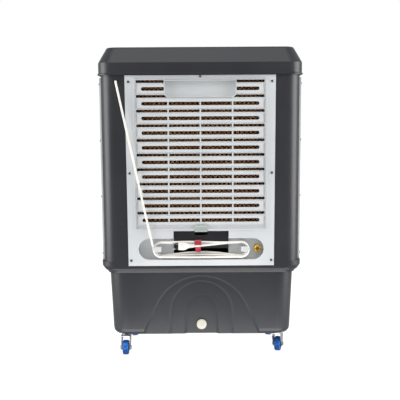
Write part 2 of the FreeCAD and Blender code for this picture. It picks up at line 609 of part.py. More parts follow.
def cord_hooks():
    """Two pegs on the recess floor, each with a head that spreads past the folded cord."""
    z = RECESS[1]
    hooks = []
    x0, x1, tip = HOOK_X - 6, HOOK_X + 12, HOOK_X + 26
    for side in (-1, 1):
        stem = box(x0, HOOK_X + 6, RECESS_FLOOR + 2.5, 212.5, z - 5, z + 5)
        head = slab_xz([(x0, z - 9), (x1, z - 9), (tip, z), (x1, z + 9), (x0, z + 9)], 212, 215)
        hook = fuse([stem, head])
        hooks.append(hook if side > 0 else both_sides(hook))
    return hooks


def cord_grommet():
    x, y, z = CORD_ROUTE[0]
    bush = rod(8, (x, HALF_DEPTH - 6, z), (x, y, z))
    return fuse([bush, rod(10, (x, HALF_DEPTH, z), (x, HALF_DEPTH + 2.5, z))])


def power_cord():
    """Round tube on straight runs. Each corner is an arc that takes 0.45 of its shorter run."""
    points = [V(*p) for p in CORD_ROUTE]
    edges, here = [], points[0]
    for before, corner, after in zip(points, points[1:], points[2:]):
        a, b = before - corner, after - corner
        turn = math.pi - a.getAngle(b)
        reach = 0.45 * min(a.Length, b.Length)
        print("cord arc radius", round(reach / math.tan(turn / 2), 1), "turn", round(math.degrees(turn)))
        start = corner + V(a).normalize() * reach
        end = corner + V(b).normalize() * reach
        radius = reach / math.tan(turn / 2)
        middle_way = (V(a).normalize() + V(b).normalize()).normalize()
        middle = corner + middle_way * (radius / math.cos(turn / 2) - radius)
        edges.append(Part.makeLine(here, start))
        edges.append(Part.Arc(start, middle, end).toShape())
        here = end
    edges.append(Part.makeLine(here, points[-1]))
    path = Part.Wire(edges)
    across = points[1] - points[0]
    profile = Part.Wire([Part.makeCircle(CORD_R, points[0], across)])
    tube = path.makePipeShell([profile], True, False)
    print("cord tube length", round(path.Length), "volume ratio",
          round(tube.Volume / (path.Length * math.pi * CORD_R ** 2), 4))
    return tube


def cord_hank():
    """The folded cord as one racetrack band between the two hooks."""
    half, z, radius = HANK
    back, front = HANK_Y
    middle = obround(half - STRANDS, z, radius - STRANDS, back - 1, front + 1)
    return obround(half, z, radius, back, front).cut(middle)


def plug():
    """Two-pin plug with a tapered back end; its pins point along +X."""
    z, y0, y1 = 383.0, HANK_Y[1] + 0.2, HANK_Y[1] + 18
    mid = (y0 + y1) / 2
    outline = [(52, z - 13), (76, z - 13), (76, z + 13), (52, z + 13),
               (34, z + 6), (24, z + 5), (24, z - 5), (34, z - 6)]
    body = slab_xz(outline, y0, y1)
    pins = [rod(2.4, (76, mid, z + s * 9.5), (95, mid, z + s * 9.5)) for s in (-1, 1)]
    return fuse([body] + pins)


def cord_tie():
    """Flat tie round the upper strands, with its tail hanging over the opening."""
    half, z, radius = HANK
    top, low = z + radius, z + radius - STRANDS
    loop = box(-2, 23, HANK_Y[0] - 1.5, HANK_Y[1] + 1.5, low - 1.5, top + 1.5)
    loop = loop.cut(box(-3, 24, HANK_Y[0], HANK_Y[1], low, top))
    tail = box(1, 20, HANK_Y[1] - 1.5, HANK_Y[1] + 1.5, 360, low)
    return fuse([loop, tail])


# ---- fasteners -----------------------------------------------------------------------------
def screw_head(x, y, z, out):
    direction = V(*out)
    head = Part.makeCylinder(4.2, 2.2, V(x, y, z), direction)
    return head.makeFillet(0.9, [head.Edges[0]])


def panel_screws():
    """Screw heads round the front and rear panels and down the side panels."""
    heads = []
    for side in (1, -1):
        y = side * FACE
        for x, z in ((0, 946.5), (-238, 930), (238, 930), (-237, 627), (237, 627), (-235, 333), (235, 333)):
            if side > 0 or x:
                heads.append(screw_head(x, y, z, (0, side, 0)))
        for z in (925.0, 735.0, 545.0, 350.0):
            x = 336.0 + (z + 4 - SIDE_PANEL[0]) * 4.5 / (SIDE_PANEL[1] - SIDE_PANEL[0])
            heads += [screw_head(side * x, y, z, (side, 0, 0)) for y in (-140.0, 142.0)]
    return heads


# ---- export --------------------------------------------------------------------------------
def main():
    save("lid", lid())
    save("cabinet_shell", cabinet_shell())
    save("water_tank", water_tank())
    save("drain_cap", drain_cap())
    save("fill_door", fill_door())
    save("level_window", level_window())
    save("rear_panel", rear_panel())
    save("rear_grille", rear_grille())
    save("grille_latch", grille_latch())
    save("left_side_panel", side_panel())
    save("right_side_panel", both_sides(side_panel()))
    save("front_panel", front_panel())
    save("rear_pad", rear_pad())
    save("left_pad", side_pad())
    save("right_pad", both_sides(side_pad()))
    for number, z in enumerate(LOUVRE_Z, 1):
        save("louvre_%d" % number, louvre(z))
    save("louvre_link", louvre_link())
    for number, x in enumerate(VANE_X, 1):
        save("vane_%d" % number, vane(x))
    save("vane_link", vane_link())
    save("swing_motor", swing_motor())
    save("control_box", control_box())
    save("speed_knob", knob(KNOB_X[0]))
    save("mode_knob", knob(KNOB_X[1]))
    save("fan_shroud", fan_shroud())
    save("fan_rotor", fan_rotor())
    save("motor_shaft", motor_shaft())
    save("fan_motor", fan_motor())
    save("motor_bracket", motor_bracket())
    save("water_distributor", water_distributor())
    save("water_hose", water_hose())
    save("pump", pump())
    save("inlet_fitting", *inlet_fitting())
    save("float_valve", float_valve())
    save("float_arm", float_arm())
    save("caster_plates", *[caster_plate(c) for c in CASTERS])
    for corner in CASTERS:
        braked = corner.startswith("front")
        save("caster_fork_" + corner, *[place_caster(s, corner) for s in caster_fork(braked)])
        save("caster_wheel_" + corner, place_caster(caster_wheel(), corner))
        if braked:
            save("brake_pedal_" + corner, place_caster(brake_pedal(), corner))
    save("cord_hooks", *cord_hooks())
    save("cord_grommet", cord_grommet())
    save("power_cord", power_cord())
    save("cord_hank", cord_hank())
    save("plug", plug())
    save("cord_tie", cord_tie())
    save("panel_screws", *panel_screws())


main()
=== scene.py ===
# %% [markdown]
# # An evaporative cooler, seen from the rear
# A tall plastic housing stands on a water tank and four casters. White panels with slots cover wet
# cellulose pads, and the mains cord is folded on two hooks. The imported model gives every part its
# place. This script gives each part its finish, and models the pads, the cord and the small pieces
# again with the detail that the plain solids don't have.

# %% Load the frame
import bpy
import bmesh
import math
import random
from mathutils import Matrix, Vector


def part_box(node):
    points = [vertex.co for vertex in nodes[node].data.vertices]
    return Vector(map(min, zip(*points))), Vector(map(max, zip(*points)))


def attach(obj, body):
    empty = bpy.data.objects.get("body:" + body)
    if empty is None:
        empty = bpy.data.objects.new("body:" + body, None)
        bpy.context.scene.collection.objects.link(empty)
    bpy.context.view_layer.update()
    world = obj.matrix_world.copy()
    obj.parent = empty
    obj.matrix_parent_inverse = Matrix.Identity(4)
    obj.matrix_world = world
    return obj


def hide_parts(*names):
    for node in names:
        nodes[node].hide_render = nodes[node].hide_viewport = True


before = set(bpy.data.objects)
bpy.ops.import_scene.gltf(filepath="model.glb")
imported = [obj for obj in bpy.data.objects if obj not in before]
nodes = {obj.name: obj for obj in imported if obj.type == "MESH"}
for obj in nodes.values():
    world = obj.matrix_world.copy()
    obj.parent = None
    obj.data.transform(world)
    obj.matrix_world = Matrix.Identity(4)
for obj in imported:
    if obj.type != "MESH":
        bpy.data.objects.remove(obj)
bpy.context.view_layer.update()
MM = 0.001

# %% [markdown]
# Every material starts from a colour given as a hex value. Screens store colour with a curve,
# and shaders work in linear light, so one function undoes the curve. A second one adds a node, sets
# its options and feeds its inputs, which keeps each recipe below short enough to read.

# %% Colour and node helpers
def linear(hex_colour):
    """sRGB hex text to linear RGBA."""
    parts = [int(hex_colour[i:i + 2], 16) / 255 for i in (1, 3, 5)]
    return tuple([c / 12.92 if c <= 0.04045 else ((c + 0.055) / 1.055) ** 2.4 for c in parts] + [1.0])


def add(tree, kind, inputs=(), **settings):
    """A new node; each input is (socket, value or another node's output)."""
    made = tree.nodes.new(kind)
    for key, value in settings.items():
        setattr(made, key, value)
    for socket, value in inputs:
        if isinstance(value, bpy.types.NodeSocket):
            tree.links.new(value, made.inputs[socket])
        else:
            made.inputs[socket].default_value = value
    return made


def blank(name):
    """A material with its shader and its Object coordinates in metres."""
    made = bpy.data.materials.new(name)
    made.use_nodes = True
    tree = made.node_tree
    shader = tree.nodes["Principled BSDF"]
    place = add(tree, "ShaderNodeTexCoord").outputs["Object"]
    return made, tree, shader, place


def two_tones(tree, factor, dark, light, low=0.35, high=0.65):
    """A colour ramp between two hex colours."""
    ramp = add(tree, "ShaderNodeValToRGB", [("Fac", factor)])
    ramp.color_ramp.elements[0].color = linear(dark)
    ramp.color_ramp.elements[0].position = low
    ramp.color_ramp.elements[1].color = linear(light)
    ramp.color_ramp.elements[1].position = high
    return ramp.outputs["Color"]


def bump(tree, shader, height, depth_mm, strength=1.0):
    made = add(tree, "ShaderNodeBump",
               [("Height", height), ("Distance", depth_mm * MM), ("Strength", strength)])
    tree.links.new(made.outputs["Normal"], shader.inputs["Normal"])

# %% [markdown]
# Moulded plastic is never quite flat or quite even. The mould is spark-eroded to a fine grain, and
# the skin flows a little unevenly as it cools. A fine noise gives the grain, a slow one moves the
# gloss and the tone. Real grain is about 0.3 mm; it is drawn a few times coarser so that it shows.

# %% Moulded plastics
def moulded(name, dark, light, roughness, grain_mm=1.2, grain_depth=0.02, ior=1.49):
    made, tree, shader, place = blank(name)
    slow = add(tree, "ShaderNodeTexNoise",
               [("Vector", place), ("Scale", 1 / (160 * MM)), ("Detail", 2.0)])
    grain = add(tree, "ShaderNodeTexNoise",
                [("Vector", place), ("Scale", 1 / (grain_mm * MM)), ("Detail", 3.0)])
    tree.links.new(two_tones(tree, slow.outputs["Fac"], dark, light), shader.inputs["Base Color"])
    sheen = add(tree, "ShaderNodeMapRange", [("Value", slow.outputs["Fac"]), ("To Min", roughness - 0.04),
                                             ("To Max", roughness + 0.05)])
    tree.links.new(sheen.outputs["Result"], shader.inputs["Roughness"])
    bump(tree, shader, grain.outputs["Fac"], grain_depth)
    shader.inputs["IOR"].default_value = ior
    return made


# Glass-filled polypropylene: satin, charcoal, with a visible moulding grain.
charcoal_pp = moulded("charcoal_polypropylene", "#242529", "#292a2e", 0.36, 1.4, 0.03)
# ABS panels: smoother and a little glossier, cool white.
white_abs = moulded("white_abs", "#c7cacc", "#d0d3d4", 0.36, 1.0, 0.012, 1.53)
# Acetal latch: grey green, slightly waxy.
latch_acetal = moulded("grey_green_acetal", "#a9b2ac", "#b6beb9", 0.45, 1.0, 0.01, 1.48)
# Black ABS for knobs, boxes, shroud and the trough.
black_abs = moulded("black_abs", "#101113", "#18191b", 0.42, 1.2, 0.03, 1.53)
# Blue polyurethane tread and hub, moulded in one piece.
blue_polyurethane = moulded("blue_polyurethane", "#08539f", "#0b60b4", 0.30, 1.5, 0.01, 1.50)
# Cream polyethylene cap and valve parts.
cream_polyethylene = moulded("cream_polyethylene", "#a9a699", "#b8b5a9", 0.42, 1.2, 0.01, 1.51)
# Grey styrene fan blades.
grey_styrene = moulded("grey_styrene", "#7d858c", "#8a9299", 0.28, 1.5, 0.01, 1.57)
# White PVC sheath of the mains cord, matt and slightly rubbery.
white_pvc = moulded("white_pvc", "#e6e3dc", "#efece6", 0.42, 0.9, 0.01, 1.53)
# Grommet rubber: black, dull.
black_rubber = moulded("black_rubber", "#0c0c0d", "#141415", 0.62, 1.0, 0.03, 1.52)
# Soft PVC riser hose, milky.
milky_hose = moulded("milky_pvc_hose", "#aebbbd", "#bcc8ca", 0.30, 2.0, 0.01, 1.53)
# Smoked styrene of the level window.
smoked_styrene = moulded("smoked_styrene", "#3a4a52", "#46565e", 0.12, 4.0, 0.005, 1.59)

# %% [markdown]
# Metal parts are few. The caster forks, plates and screws are zinc-plated steel: bright, but blurred,
# with a faint mottle from the crystals of the plating. The inlet is turned brass, and the motor is
# enamelled. Metals keep the default IOR, and their colour is the colour of their reflection.

# %% Metals
def plated(name, dark, light, roughness, mottle_mm):
    made, tree, shader, place = blank(name)
    mottle = add(tree, "ShaderNodeTexVoronoi", [("Vector", place), ("Scale", 1 / (mottle_mm * MM))])
    cloud = add(tree, "ShaderNodeTexNoise", [("Vector", place), ("Scale", 1 / (9 * MM)), ("Detail", 4.0)])
    tree.links.new(two_tones(tree, cloud.outputs["Fac"], dark, light), shader.inputs["Base Color"])
    gloss = add(tree, "ShaderNodeMapRange", [("Value", mottle.outputs["Distance"]),
                                             ("To Min", roughness - 0.06), ("To Max", roughness + 0.10)])
    tree.links.new(gloss.outputs["Result"], shader.inputs["Roughness"])
    shader.inputs["Metallic"].default_value = 1.0
    return made


zinc_plate = plated("zinc_plated_steel", "#9a9c9e", "#c2c4c6", 0.34, 3.0)
screw_steel = plated("blackened_screw_steel", "#4c4d50", "#67686b", 0.38, 2.0)
turned_brass = plated("turned_brass", "#c79a3c", "#e3bd62", 0.24, 2.0)
motor_enamel = moulded("black_motor_enamel", "#17181a", "#202124", 0.30, 3.0, 0.02)

# %% [markdown]
# The pad is kraft paper stiffened with resin and glued into flutes. It soaks up water, so its brown
# is dark and blotchy, with paler rims where the sheets were sawn through.

# %% Cellulose and cloth
def kraft():
    made, tree, shader, place = blank("resin_kraft_paper")
    blotch = add(tree, "ShaderNodeTexNoise", [("Vector", place), ("Scale", 1 / (14 * MM)), ("Detail", 5.0)])
    fibre = add(tree, "ShaderNodeTexNoise", [("Vector", place), ("Scale", 1 / (1.6 * MM)), ("Detail", 3.0)])
    mixed = add(tree, "ShaderNodeMath", [(0, blotch.outputs["Fac"]), (1, fibre.outputs["Fac"])],
                operation="MULTIPLY")
    tree.links.new(two_tones(tree, mixed.outputs["Value"], "#8a5533", "#e4b78a", 0.12, 0.38),
                   shader.inputs["Base Color"])
    bump(tree, shader, fibre.outputs["Fac"], 0.15)
    shader.inputs["Roughness"].default_value = 0.85
    shader.inputs["Specular IOR Level"].default_value = 0.25
    return made


def woven_red():
    made, tree, shader, place = blank("woven_red_nylon")
    thread = 2 * math.pi / (1.6 * MM)
    warp, weft = [add(tree, "ShaderNodeTexWave", [("Vector", place), ("Scale", thread / 20)],
                      bands_direction=way) for way in "XZ"]
    cross = add(tree, "ShaderNodeMath", [(0, warp.outputs["Fac"]), (1, weft.outputs["Fac"])],
                operation="MULTIPLY")
    tree.links.new(two_tones(tree, cross.outputs["Value"], "#8e0f22", "#c8203a", 0.1, 0.7),
                   shader.inputs["Base Color"])
    bump(tree, shader, cross.outputs["Value"], 0.25)
    shader.inputs["Roughness"].default_value = 0.7
    shader.inputs["Sheen Weight"].default_value = 0.3
    return made


pad_kraft = kraft()
red_nylon = woven_red()

# %% [markdown]
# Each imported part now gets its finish. A part has one material slot, so the list below is read as a
# table of which plastic or metal the maker chose for which piece.

# %% Finish of each part
FINISH = {
    "cabinet_shell": charcoal_pp, "lid": charcoal_pp, "water_tank": charcoal_pp, "fill_door": charcoal_pp,
    "rear_panel": white_abs, "rear_grille": white_abs, "left_side_panel": white_abs,
    "right_side_panel": white_abs, "front_panel": white_abs, "cord_hooks": white_abs,
    "grille_latch": latch_acetal, "speed_knob": black_abs, "mode_knob": black_abs,
    "control_box": black_abs, "pump": black_abs, "fan_shroud": black_abs, "swing_motor": black_abs,
    "water_distributor": black_abs, "level_window": smoked_styrene, "drain_cap": cream_polyethylene,
    "float_valve": cream_polyethylene, "float_arm": cream_polyethylene, "fan_rotor": grey_styrene,
    "motor_shaft": zinc_plate, "caster_plates": zinc_plate, "panel_screws": screw_steel,
    "fan_motor": motor_enamel, "motor_bracket": motor_enamel, "inlet_fitting": turned_brass,
    "cord_grommet": black_rubber, "water_hose": milky_hose, "power_cord": white_pvc,
    "cord_hank": white_pvc, "plug": white_pvc, "cord_tie": red_nylon, "rear_pad": pad_kraft,
    "left_pad": pad_kraft, "right_pad": pad_kraft}
BY_START = (("louvre", white_abs), ("vane", white_abs), ("caster_wheel", blue_polyurethane),
            ("caster_fork", zinc_plate), ("brake_pedal", black_abs))


def finish_of(name):
    return FINISH.get(name) or next(made for start, made in BY_START if name.startswith(start))


def dress(obj, material):
    obj.data.materials.clear()
    obj.data.materials.append(material)


for name, obj in nodes.items():
    dress(obj, finish_of(name))
print("finished", len(nodes), "parts")

# %% [markdown]
# New pieces are made from a primitive that is shaped in edit mode. Operators act on whatever is
# selected, so everything is deselected first. `seal` puts a finished piece's place into its mesh,
# names it, and gives it its material and the body that it rides on.

# %% Modelling helpers
def start_clean():
    if bpy.context.object and bpy.context.object.mode != "OBJECT":
        bpy.ops.object.mode_set(mode="OBJECT")
    bpy.ops.object.select_all(action="DESELECT")


def only(obj):
    start_clean()
    obj.select_set(True)
    bpy.context.view_layer.objects.active = obj
    return obj


def apply_all(obj):
    only(obj)
    for modifier in list(obj.modifiers):
        bpy.ops.object.modifier_apply(modifier=modifier.name)


def seal(obj, name, material, body, stands_for=()):
    only(obj)
    bpy.ops.object.transform_apply(location=True, rotation=True, scale=True)
    obj.name = name
    obj.data.name = name
    dress(obj, material)
    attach(obj, body)
    if stands_for:
        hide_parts(*stands_for)
    print(name, len(obj.data.polygons), "faces")
    return obj


def smooth(obj, degrees=35):
    only(obj)
    bpy.ops.object.shade_smooth_by_angle(angle=math.radians(degrees))


def join(objects):
    start_clean()
    for obj in objects:
        obj.select_set(True)
    bpy.context.view_layer.objects.active = objects[0]
    bpy.ops.object.join()
    return objects[0]


def block(low, high):
    """A box from its corners, in millimetres."""
    start_clean()
    middle = [(a + b) / 2 * MM for a, b in zip(low, high)]
    bpy.ops.mesh.primitive_cube_add(size=1, location=middle)
    obj = bpy.context.object
    obj.scale = [(b - a) * MM for a, b in zip(low, high)]
    bpy.ops.object.transform_apply(location=False, rotation=False, scale=True)
    return obj


def bevelled(obj, width_mm, segments=3, limit=40):
    """Rounds the sharp edges of a piece by a modifier, and applies it."""
    made = obj.modifiers.new("edge", "BEVEL")
    made.width = width_mm * MM
    made.segments = segments
    made.limit_method = "ANGLE"
    made.angle_limit = math.radians(limit)
    apply_all(obj)
    smooth(obj)
    return obj


def disc(radius, depth, centre, axis="Y", sides=48):
    """A cylinder in millimetres whose middle is at centre."""
    start_clean()
    turn = {"X": (0, math.pi / 2, 0), "Y": (math.pi / 2, 0, 0), "Z": (0, 0, 0)}[axis]
    bpy.ops.mesh.primitive_cylinder_add(vertices=sides, radius=radius * MM, depth=depth * MM,
                                        location=[c * MM for c in centre], rotation=turn)
    return bpy.context.object

# %% [markdown]
# A cooling pad is a block of fluted paper sheets glued crest to crest, with alternate sheets tilted
# opposite ways. Seen from its face it is a net of small openings. One wavy strip is modelled as a
# plane cut into steps, its rows pushed left and right, and then copied across; neighbours swing
# opposite ways, so that their crests meet.

# %% Cooling pads
FLUTE = 15.0        # one full wave of a sheet, mm
SHEET_GAP = 7.5     # distance between neighbouring sheets
LEAN = 16.0         # how far the flutes climb from one face of the pad to the other
SWING = 0.57        # how far a crest stands out, as a share of the gap
PAPER = 1.5         # thickness of a sheet
DEPTH_CUTS = 5      # steps from one face of the pad to the other


def fluted_pad(node, body_axis):
    """Fills a pad's box with wavy upright sheets; body_axis is the axis that the air goes along."""
    low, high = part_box(node)
    across = 0 if body_axis == 1 else 1
    steps = int((high[2] - low[2]) / (FLUTE * MM / 4))
    count = int((high[across] - low[across]) / (SHEET_GAP * MM))
    gap = (high[across] - low[across]) / count
    mesh = bmesh.new()
    for sheet in range(count):
        side = 1 if sheet % 2 else -1
        centre = low[across] + (sheet + 0.5) * gap
        rows = []
        for step in range(steps + 1):
            z = low[2] + (high[2] - low[2]) * step / steps
            row = []
            for cut in range(DEPTH_CUTS + 1):
                share = cut / DEPTH_CUTS
                lean = side * (share - 0.5) * LEAN * MM
                swing = side * SWING * gap * math.sin(2 * math.pi * (z + lean) / (FLUTE * MM))
                point = [0, 0, z]
                point[across] = centre + swing
                point[body_axis] = low[body_axis] + (high[body_axis] - low[body_axis]) * share
                row.append(mesh.verts.new(point))
            rows.append(row)
        for lower, upper in zip(rows, rows[1:]):
            for i in range(DEPTH_CUTS):
                mesh.faces.new((lower[i], lower[i + 1], upper[i + 1], upper[i]))
    data = bpy.data.meshes.new(node + "_flutes")
    mesh.to_mesh(data)
    mesh.free()
    obj = bpy.data.objects.new(node + "_flutes", data)
    bpy.context.scene.collection.objects.link(obj)
    skin = obj.modifiers.new("paper", "SOLIDIFY")
    skin.thickness = PAPER * MM
    skin.offset = 0
    apply_all(obj)
    smooth(obj, 60)
    return seal(obj, node + "_flutes", pad_kraft, "cabinet", [node])


fluted_pad("rear_pad", 1)
fluted_pad("left_pad", 0)
fluted_pad("right_pad", 0)

# %% [markdown]
# The mains cord leaves its grommet, runs taut down to the hook, and is folded three times round both
# hooks up to its plug. It is one NURBS line. A quadratic line passes through the middles of its
# control polygon, so the points of each round end stand out by 1 / cos(22.5 degrees). The three laps
# lie behind one another, the widest in front, as strands do when a hand gathers them.

# %% Mains cord
CORD_EXIT = (279.0, 208.6, 931.0)
TAUT_RUN = [(279.0, 213.9, 931.0), (279.0, 218.1, 931.0), (278.5, 221.8, 928.9),
            (277.6, 224.0, 925.3), (276.7, 223.9, 921.1), (267.8, 223.4, 878.0), (178.6, 217.4, 458.0),
            (172.7, 216.2, 430.0), (168.0, 213.6, 408.0), (164.2, 210.2, 390.0)]
FIRST_END = [(160.6, 208.2, 372.9), (156.9, 207.6, 355.8), (143.3, 207.4, 344.7), (125.7, 207.4, 344.7)]
HANK_END_X, HANK_Z = 134.5, 369.5
LAPS = [(24.8, 207.4), (23.2, 199.9), (21.6, 192.4)]     # end radius and depth of each lap's strand
STEP_OUT = 1 / math.cos(math.radians(22.5))
STEP_BACK = 0.4142     # tangent of 22.5 degrees: the first and last points stand back on the straight


def lap_place(turns):
    """Radius and depth part of the way through the laps; the strand shifts at the first hook."""
    lap = min(int(turns), len(LAPS) - 1)
    share = min(max((turns - lap) * 4 - 2.6, 0), 1)
    after = LAPS[min(lap + 1, len(LAPS) - 1)]
    return [a + (b - a) * share for a, b in zip(LAPS[lap], after)]


def end_points(side, turns):
    """Half circle round one hook: upwards at the far end (side -1), downwards at the near one."""
    points = []
    for k, angle in enumerate((-90, -67.5, -22.5, 22.5, 67.5, 90)):
        radius, depth = lap_place(turns + 0.04 * k)
        if abs(angle) < 90:
            reach = radius * STEP_OUT * math.cos(math.radians(angle))
            rise = radius * STEP_OUT * math.sin(math.radians(angle))
        else:
            reach, rise = -STEP_BACK * radius, math.copysign(radius, angle)
        points.append((side * (HANK_END_X + reach), depth, HANK_Z - side * rise))
    return points


def hank_points():
    """Control points round both hooks: foot run, far end, head run, near end, for each lap."""
    points = []
    for lap in range(3):
        for k, x in enumerate((96, 50, 4, -46, -94)):
            radius, depth = lap_place(lap + 0.08 * k)
            lift = (-1.0, 5.5, 11.5)[lap] * math.cos(x / 75)
            points.append((x, depth + 0.5 * math.sin(x / 31 + lap), HANK_Z - radius + lift))
        points += end_points(-1, lap + 0.42)
        if lap == 2:
            break
        for k, x in enumerate((-94, -46, 4, 52, 96)):
            radius, depth = lap_place(lap + 0.5 + 0.05 * k)
            wander = (1.5 * math.sin(x / 42 + 0.5), -6.0 * math.cos(x / 72))[lap]
            points.append((x, depth, HANK_Z + radius + wander))
        points += end_points(1, lap + 0.76)
    return points


def cord_points():
    tail = [(-100, 193.5, 390.5), (-76, 198.5, 389.0), (-52, 205.0, 387.5), (-28, 211.5, 386.0),
            (-4, 216.8, 384.6), (16, 219.8, 383.3), (29, 220.2, 383.0)]
    return [CORD_EXIT] + TAUT_RUN + FIRST_END + hank_points() + tail


def cord_line(name, points, radius_mm):
    curve = bpy.data.curves.new(name, "CURVE")
    curve.dimensions = "3D"
    spline = curve.splines.new("NURBS")
    spline.points.add(len(points) - 1)
    for point, place in zip(spline.points, points):
        point.co = [c * MM for c in place] + [1]
    spline.order_u = 3
    spline.use_endpoint_u = True
    spline.resolution_u = 8
    curve.bevel_depth = radius_mm * MM
    curve.bevel_resolution = 6
    curve.use_fill_caps = True
    obj = bpy.data.objects.new(name, curve)
    bpy.context.scene.collection.objects.link(obj)
    return obj


mains_cord = cord_line("mains_cord", cord_points(), 3.5)
dress(mains_cord, white_pvc)
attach(mains_cord, "cabinet")
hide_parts("power_cord", "cord_hank")

# %% [markdown]
# The plug is a moulded wedge: a square nose that carries two round pins, a waist for the fingers and
# a ribbed tail that keeps the cord from kinking. The nose is a cube whose rear face is extruded and
# scaled in steps; the ribs are short rings on the tail.

# %% Plug
def end_face(obj, direction):
    """Selects, in edit mode, only the faces that point along direction at the far end."""
    data = bmesh.from_edit_mesh(obj.data)
    way = Vector(direction)
    reach = max(face.calc_center_median().dot(way) for face in data.faces)
    for face in data.faces:
        face.select_set(face.calc_center_median().dot(way) > reach - 1e-6)
    bmesh.update_edit_mesh(obj.data)


def make_plug():
    middle_y, z = 220.2, 383.0
    body = block((56, 212.2, z - 12.5), (76, 228.2, z + 12.5))
    only(body)
    bpy.ops.object.mode_set(mode="EDIT")
    bpy.context.tool_settings.mesh_select_mode = (False, False, True)
    for step, shrink in ((-6, 0.82), (-7, 0.66), (-7, 0.72)):
        end_face(body, (-1, 0, 0))
        bpy.ops.mesh.extrude_region_move(TRANSFORM_OT_translate={"value": (step * MM, 0, 0)})
        bpy.ops.transform.resize(value=(1, max(shrink, 0.8), shrink))
    bpy.ops.object.mode_set(mode="OBJECT")
    bevelled(body, 2.2, 4, 20)
    ribs = [disc(5.8 - 0.35 * i, 1.8, (35 - 3.2 * i, middle_y, z), "X", 32) for i in range(4)]
    tail = disc(4.6, 16, (32, middle_y, z), "X", 32)
    sheaths = [disc(2.4, 11, (81.5, middle_y, z + side * 9.5), "X", 24) for side in (-1, 1)]
    pins = [disc(2.0, 9.5, (90.2, middle_y, z + side * 9.5), "X", 24) for side in (-1, 1)]
    for rib in ribs + [tail]:
        bevelled(rib, 0.5, 2)
    for pin in pins:
        bevelled(pin, 0.9, 3)
    for sheath in sheaths:
        bevelled(sheath, 0.3, 2)
    grips = [bevelled(block((58 + 3.4 * i, 227.6, z - 7), (59.4 + 3.4 * i, 228.6, z + 7)), 0.4, 2)
             for i in range(4)]
    shell = seal(join([body] + ribs + [tail] + grips), "moulded_plug", white_pvc, "cabinet",
                 ["plug"])
    sleeves = seal(join(sheaths), "plug_pin_sleeves", black_abs, "cabinet")
    prongs = seal(join(pins), "plug_pins", zinc_plate, "cabinet")
    return [shell, sleeves, prongs]


plug_pieces = make_plug()

# %% [markdown]
# A red hook-and-loop strap holds the folded cord. It is a flat band bent round the upper strands,
# with its free end hanging over the dark window. A closed ribbon of points makes the band, and
# Solidify gives it its thickness.

# %% Strap
def ribbon(name, outline, x0, x1, thickness_mm, closed):
    """A flat strip along X that follows an outline of (y, z) points."""
    mesh = bmesh.new()
    slices = 6
    rows = [[mesh.verts.new(((x0 + (x1 - x0) * i / slices) * MM, y * MM, z * MM)) for i in range(slices + 1)]
            for y, z in outline]
    pairs = list(zip(rows, rows[1:])) + ([(rows[-1], rows[0])] if closed else [])
    for one, two in pairs:
        for i in range(slices):
            mesh.faces.new((one[i], one[i + 1], two[i + 1], two[i]))
    data = bpy.data.meshes.new(name)
    bmesh.ops.recalc_face_normals(mesh, faces=mesh.faces)
    mesh.to_mesh(data)
    mesh.free()
    obj = bpy.data.objects.new(name, data)
    bpy.context.scene.collection.objects.link(obj)
    skin = obj.modifiers.new("thickness", "SOLIDIFY")
    skin.thickness = thickness_mm * MM
    skin.offset = 1
    apply_all(obj)
    return obj


def make_strap():
    loop = []
    for k in range(24):
        angle = 2 * math.pi * k / 24
        y = 205.2 + 17.2 * math.cos(angle)
        z = 391.0 + 9.4 * math.sin(angle)
        loop.append((y, z))
    band = ribbon("band", loop, -1, 22, 1.2, True)
    tail = [(220.4, 382.5), (217.5, 378.5), (213.0, 374.5), (210.5, 370.0), (209.6, 365.5), (209.8, 361.0)]
    free_end = ribbon("free_end", tail, 1, 20, 1.3, False)
    strap = join([band, free_end])
    soften = strap.modifiers.new("soften", "SUBSURF")
    soften.levels = soften.render_levels = 1
    apply_all(strap)
    smooth(strap, 60)
    return seal(strap, "hank_strap", red_nylon, "cabinet", ["cord_tie"])


strap = make_strap()

# %% [markdown]
# The thread of the brass inlet is drawn as rings, not as a helix. Each crest is coned on both flanks,
# and the mouth is chamfered. The bore ends at the nut, which is a solid disc here.

# %% Water inlet
def make_inlet():
    x, z = -190.0, 371.0
    thread_top, pitch, turns = 203.6, 1.81, 9
    mesh = bmesh.new()
    outline = [(4.75, 183), (9.0, 183)]
    for turn in range(turns):
        y = 186.0 + turn * pitch
        outline += [(9.3, y), (10.4, y + 0.5 * pitch)]
    outline += [(9.3, 186.0 + turns * pitch), (9.3, 203.0), (8.7, thread_top), (5.6, thread_top),
                (4.75, 202.6)]
    sides = 64
    rings = [[mesh.verts.new(((x + r * math.cos(2 * math.pi * s / sides)) * MM, y * MM,
                              (z + r * math.sin(2 * math.pi * s / sides)) * MM)) for s in range(sides)]
             for r, y in outline]
    for one, two in zip(rings, rings[1:] + rings[:1]):
        for s in range(sides):
            mesh.faces.new((one[s], one[(s + 1) % sides], two[(s + 1) % sides], two[s]))
    bmesh.ops.recalc_face_normals(mesh, faces=mesh.faces)
    data = bpy.data.meshes.new("inlet")
    mesh.to_mesh(data)
    mesh.free()
    tail = bpy.data.objects.new("inlet", data)
    bpy.context.scene.collection.objects.link(tail)
    smooth(tail, 30)
    nut = bevelled(disc(14.0, 4.0, (x, 184.6, z), "Y", 6), 0.6, 2)
    back = bevelled(disc(14.0, 8.0, (x, 176.0, z), "Y", 6), 0.6, 2)
    rear = disc(10.4, 22, (x, 161, z), "Y", 32)
    return seal(join([tail, nut, back, rear]), "threaded_inlet", turned_brass, "cabinet",
                ["inlet_fitting"])


make_inlet()

# %% [markdown]
# The drain cap is a turned disc with a knurled rim, a raised ring and a moulded finger bar. The rim's
# grooves are cut by scaling every third side inwards.

